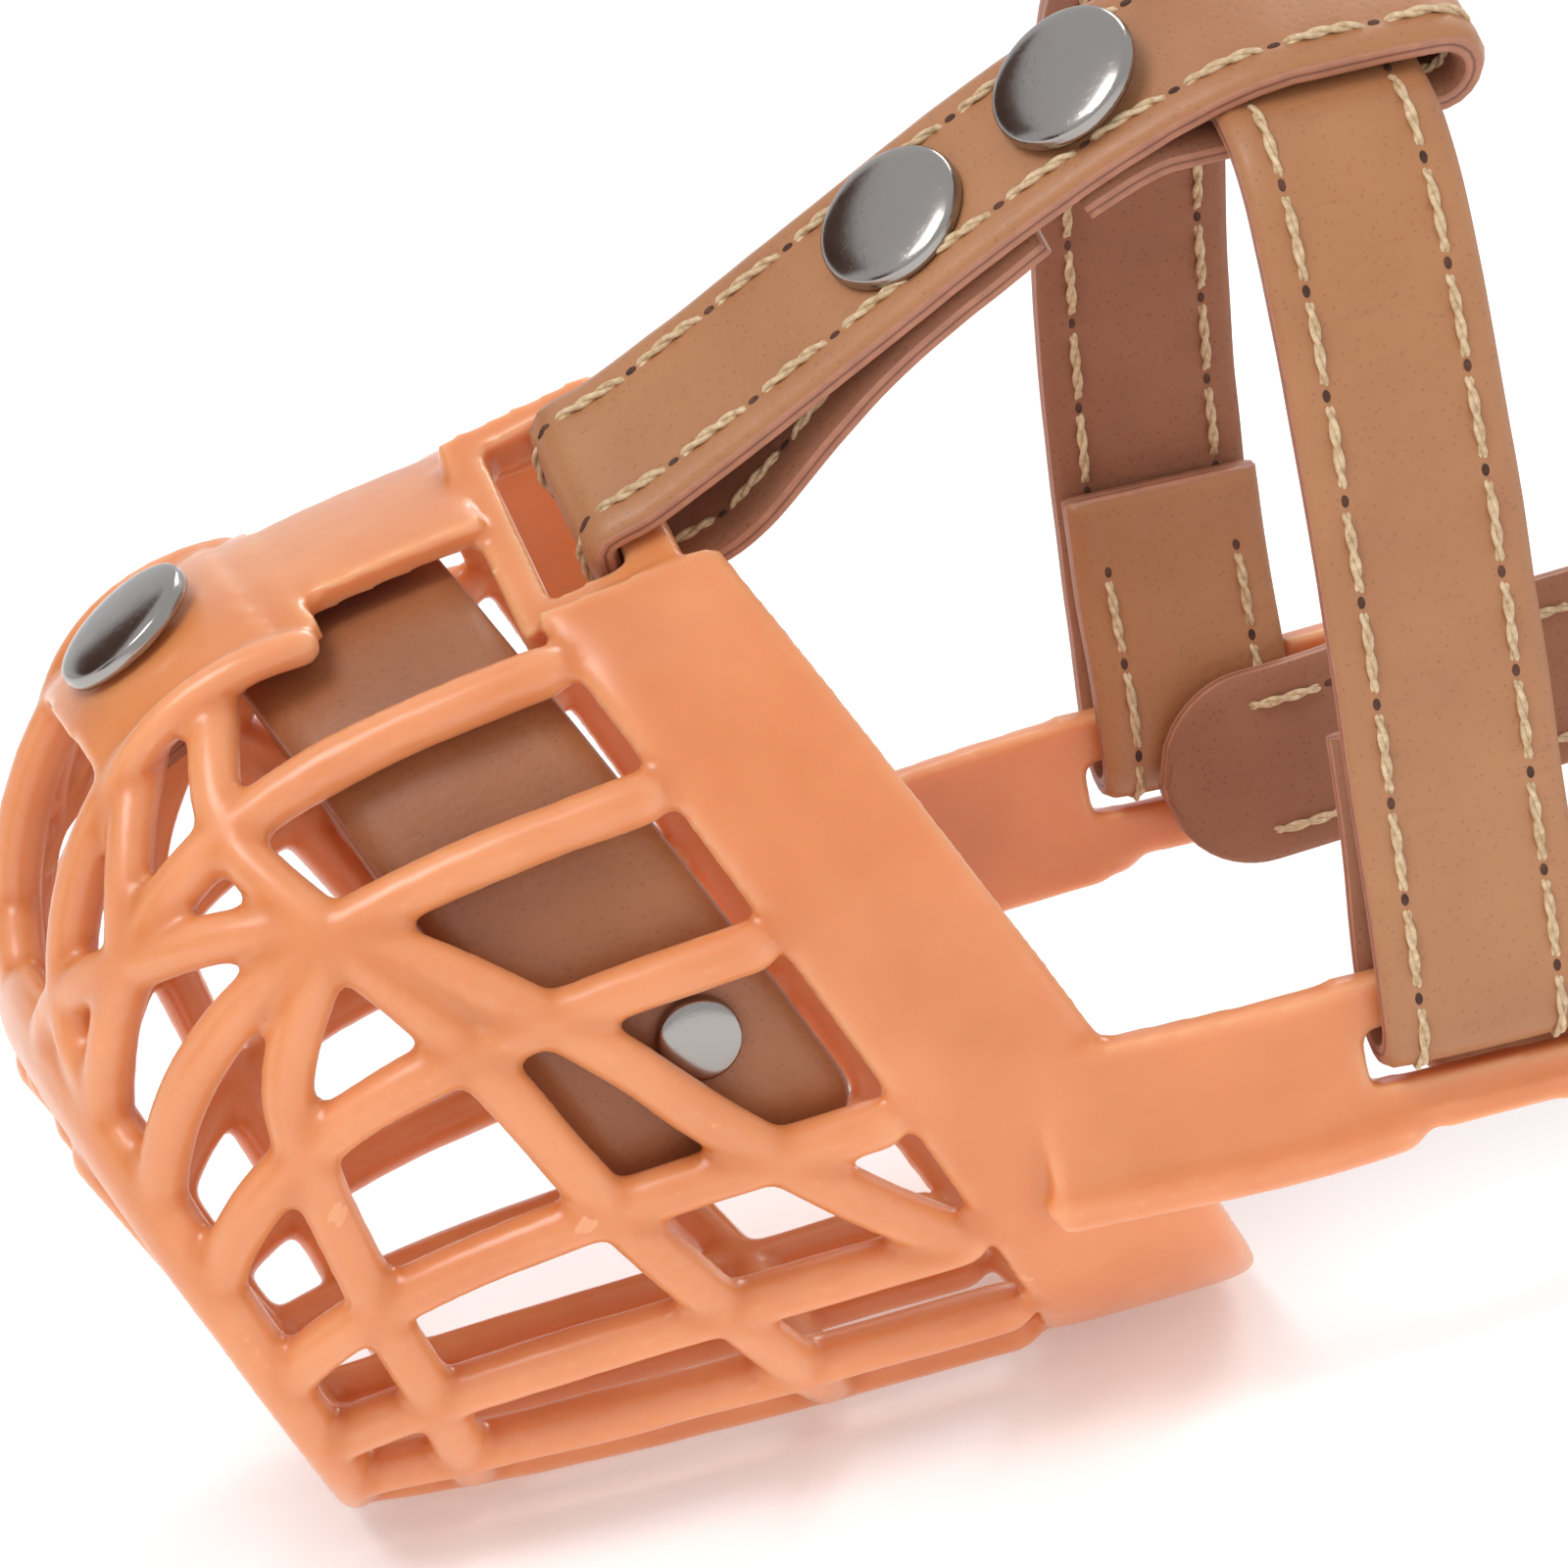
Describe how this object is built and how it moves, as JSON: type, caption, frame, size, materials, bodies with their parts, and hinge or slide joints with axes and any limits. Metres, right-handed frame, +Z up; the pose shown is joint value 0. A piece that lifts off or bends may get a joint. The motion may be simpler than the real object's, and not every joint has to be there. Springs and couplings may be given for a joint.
{
  "type": "basket muzzle",
  "caption": "Dog's basket muzzle: an openwork moulded cage with leather forehead, crown and buckled neck straps fixed by cap rivets.",
  "frame": {"origin": "centre of the rear opening, midway between the rim's top and bottom and between the two sides", "axes": "+X out of the rear opening towards the dog's neck, +Z up to the crown strap, -Y the muzzle's left side tab"},
  "size_m": [0.2191, 0.091, 0.1199],
  "materials": {
    "cage_plastic": "semi-gloss moulded, slightly translucent peach",
    "strap_leather": "smooth tan with painted edges and cream stitching",
    "liner_leather": "plain brown, raw reddish edge",
    "rivet_nickel": "polished nickel with fine scratches",
    "buckle_steel": "plated wire, polished"
  },
  "bodies": {
    "cage": {"rim_band": "cage_plastic", "top_frame": "cage_plastic", "nose_bridge": "cage_plastic", "nose_plate": "cage_plastic", "left_web": "cage_plastic", "right_web": "cage_plastic", "belly_ribs": "cage_plastic", "front_ring": "cage_plastic", "front_grille": "cage_plastic", "left_tab": "cage_plastic", "right_tab": "cage_plastic", "nose_band": "liner_leather", "nose_pad": "liner_leather", "nose_rivet": "rivet_nickel", "band_rivets": "rivet_nickel", "forehead_strap": "strap_leather", "forehead_rivets": "rivet_nickel", "crown_strap": "strap_leather"},
    "neck_loop": {"buckle_strap": "strap_leather", "punched_strap": "strap_leather", "tab_rivets": "rivet_nickel", "buckle_frame": "buckle_steel", "fixed_keeper": "strap_leather", "buckle_rivet": "rivet_nickel"},
    "prong": {"buckle_prong": "buckle_steel"},
    "roller": {"buckle_roller": "buckle_steel"},
    "keeper": {"sliding_keeper": "strap_leather"}
  },
  "joints": [
    {"name": "neck_swing", "type": "hinge", "parent": "cage", "child": "neck_loop", "pos_m": [0.059, 0, -0.015], "axis": [0, 1, 0], "range_deg": [-30, 30]},
    {"name": "prong_lift", "type": "hinge", "parent": "neck_loop", "child": "prong", "pos_m": [0.1311, 0.004, -0.015], "axis": [0, 0, 1], "range_deg": [0, 20]},
    {"name": "roller_spin", "type": "hinge", "parent": "neck_loop", "child": "roller", "pos_m": [0.1311, -0.017, -0.015], "axis": [0, 0, 1], "continuous": true},
    {"name": "keeper_slide", "type": "slide", "parent": "neck_loop", "child": "keeper", "axis": [1, 0, 0], "range_m": [-0.009, 0.004]}
  ]
}
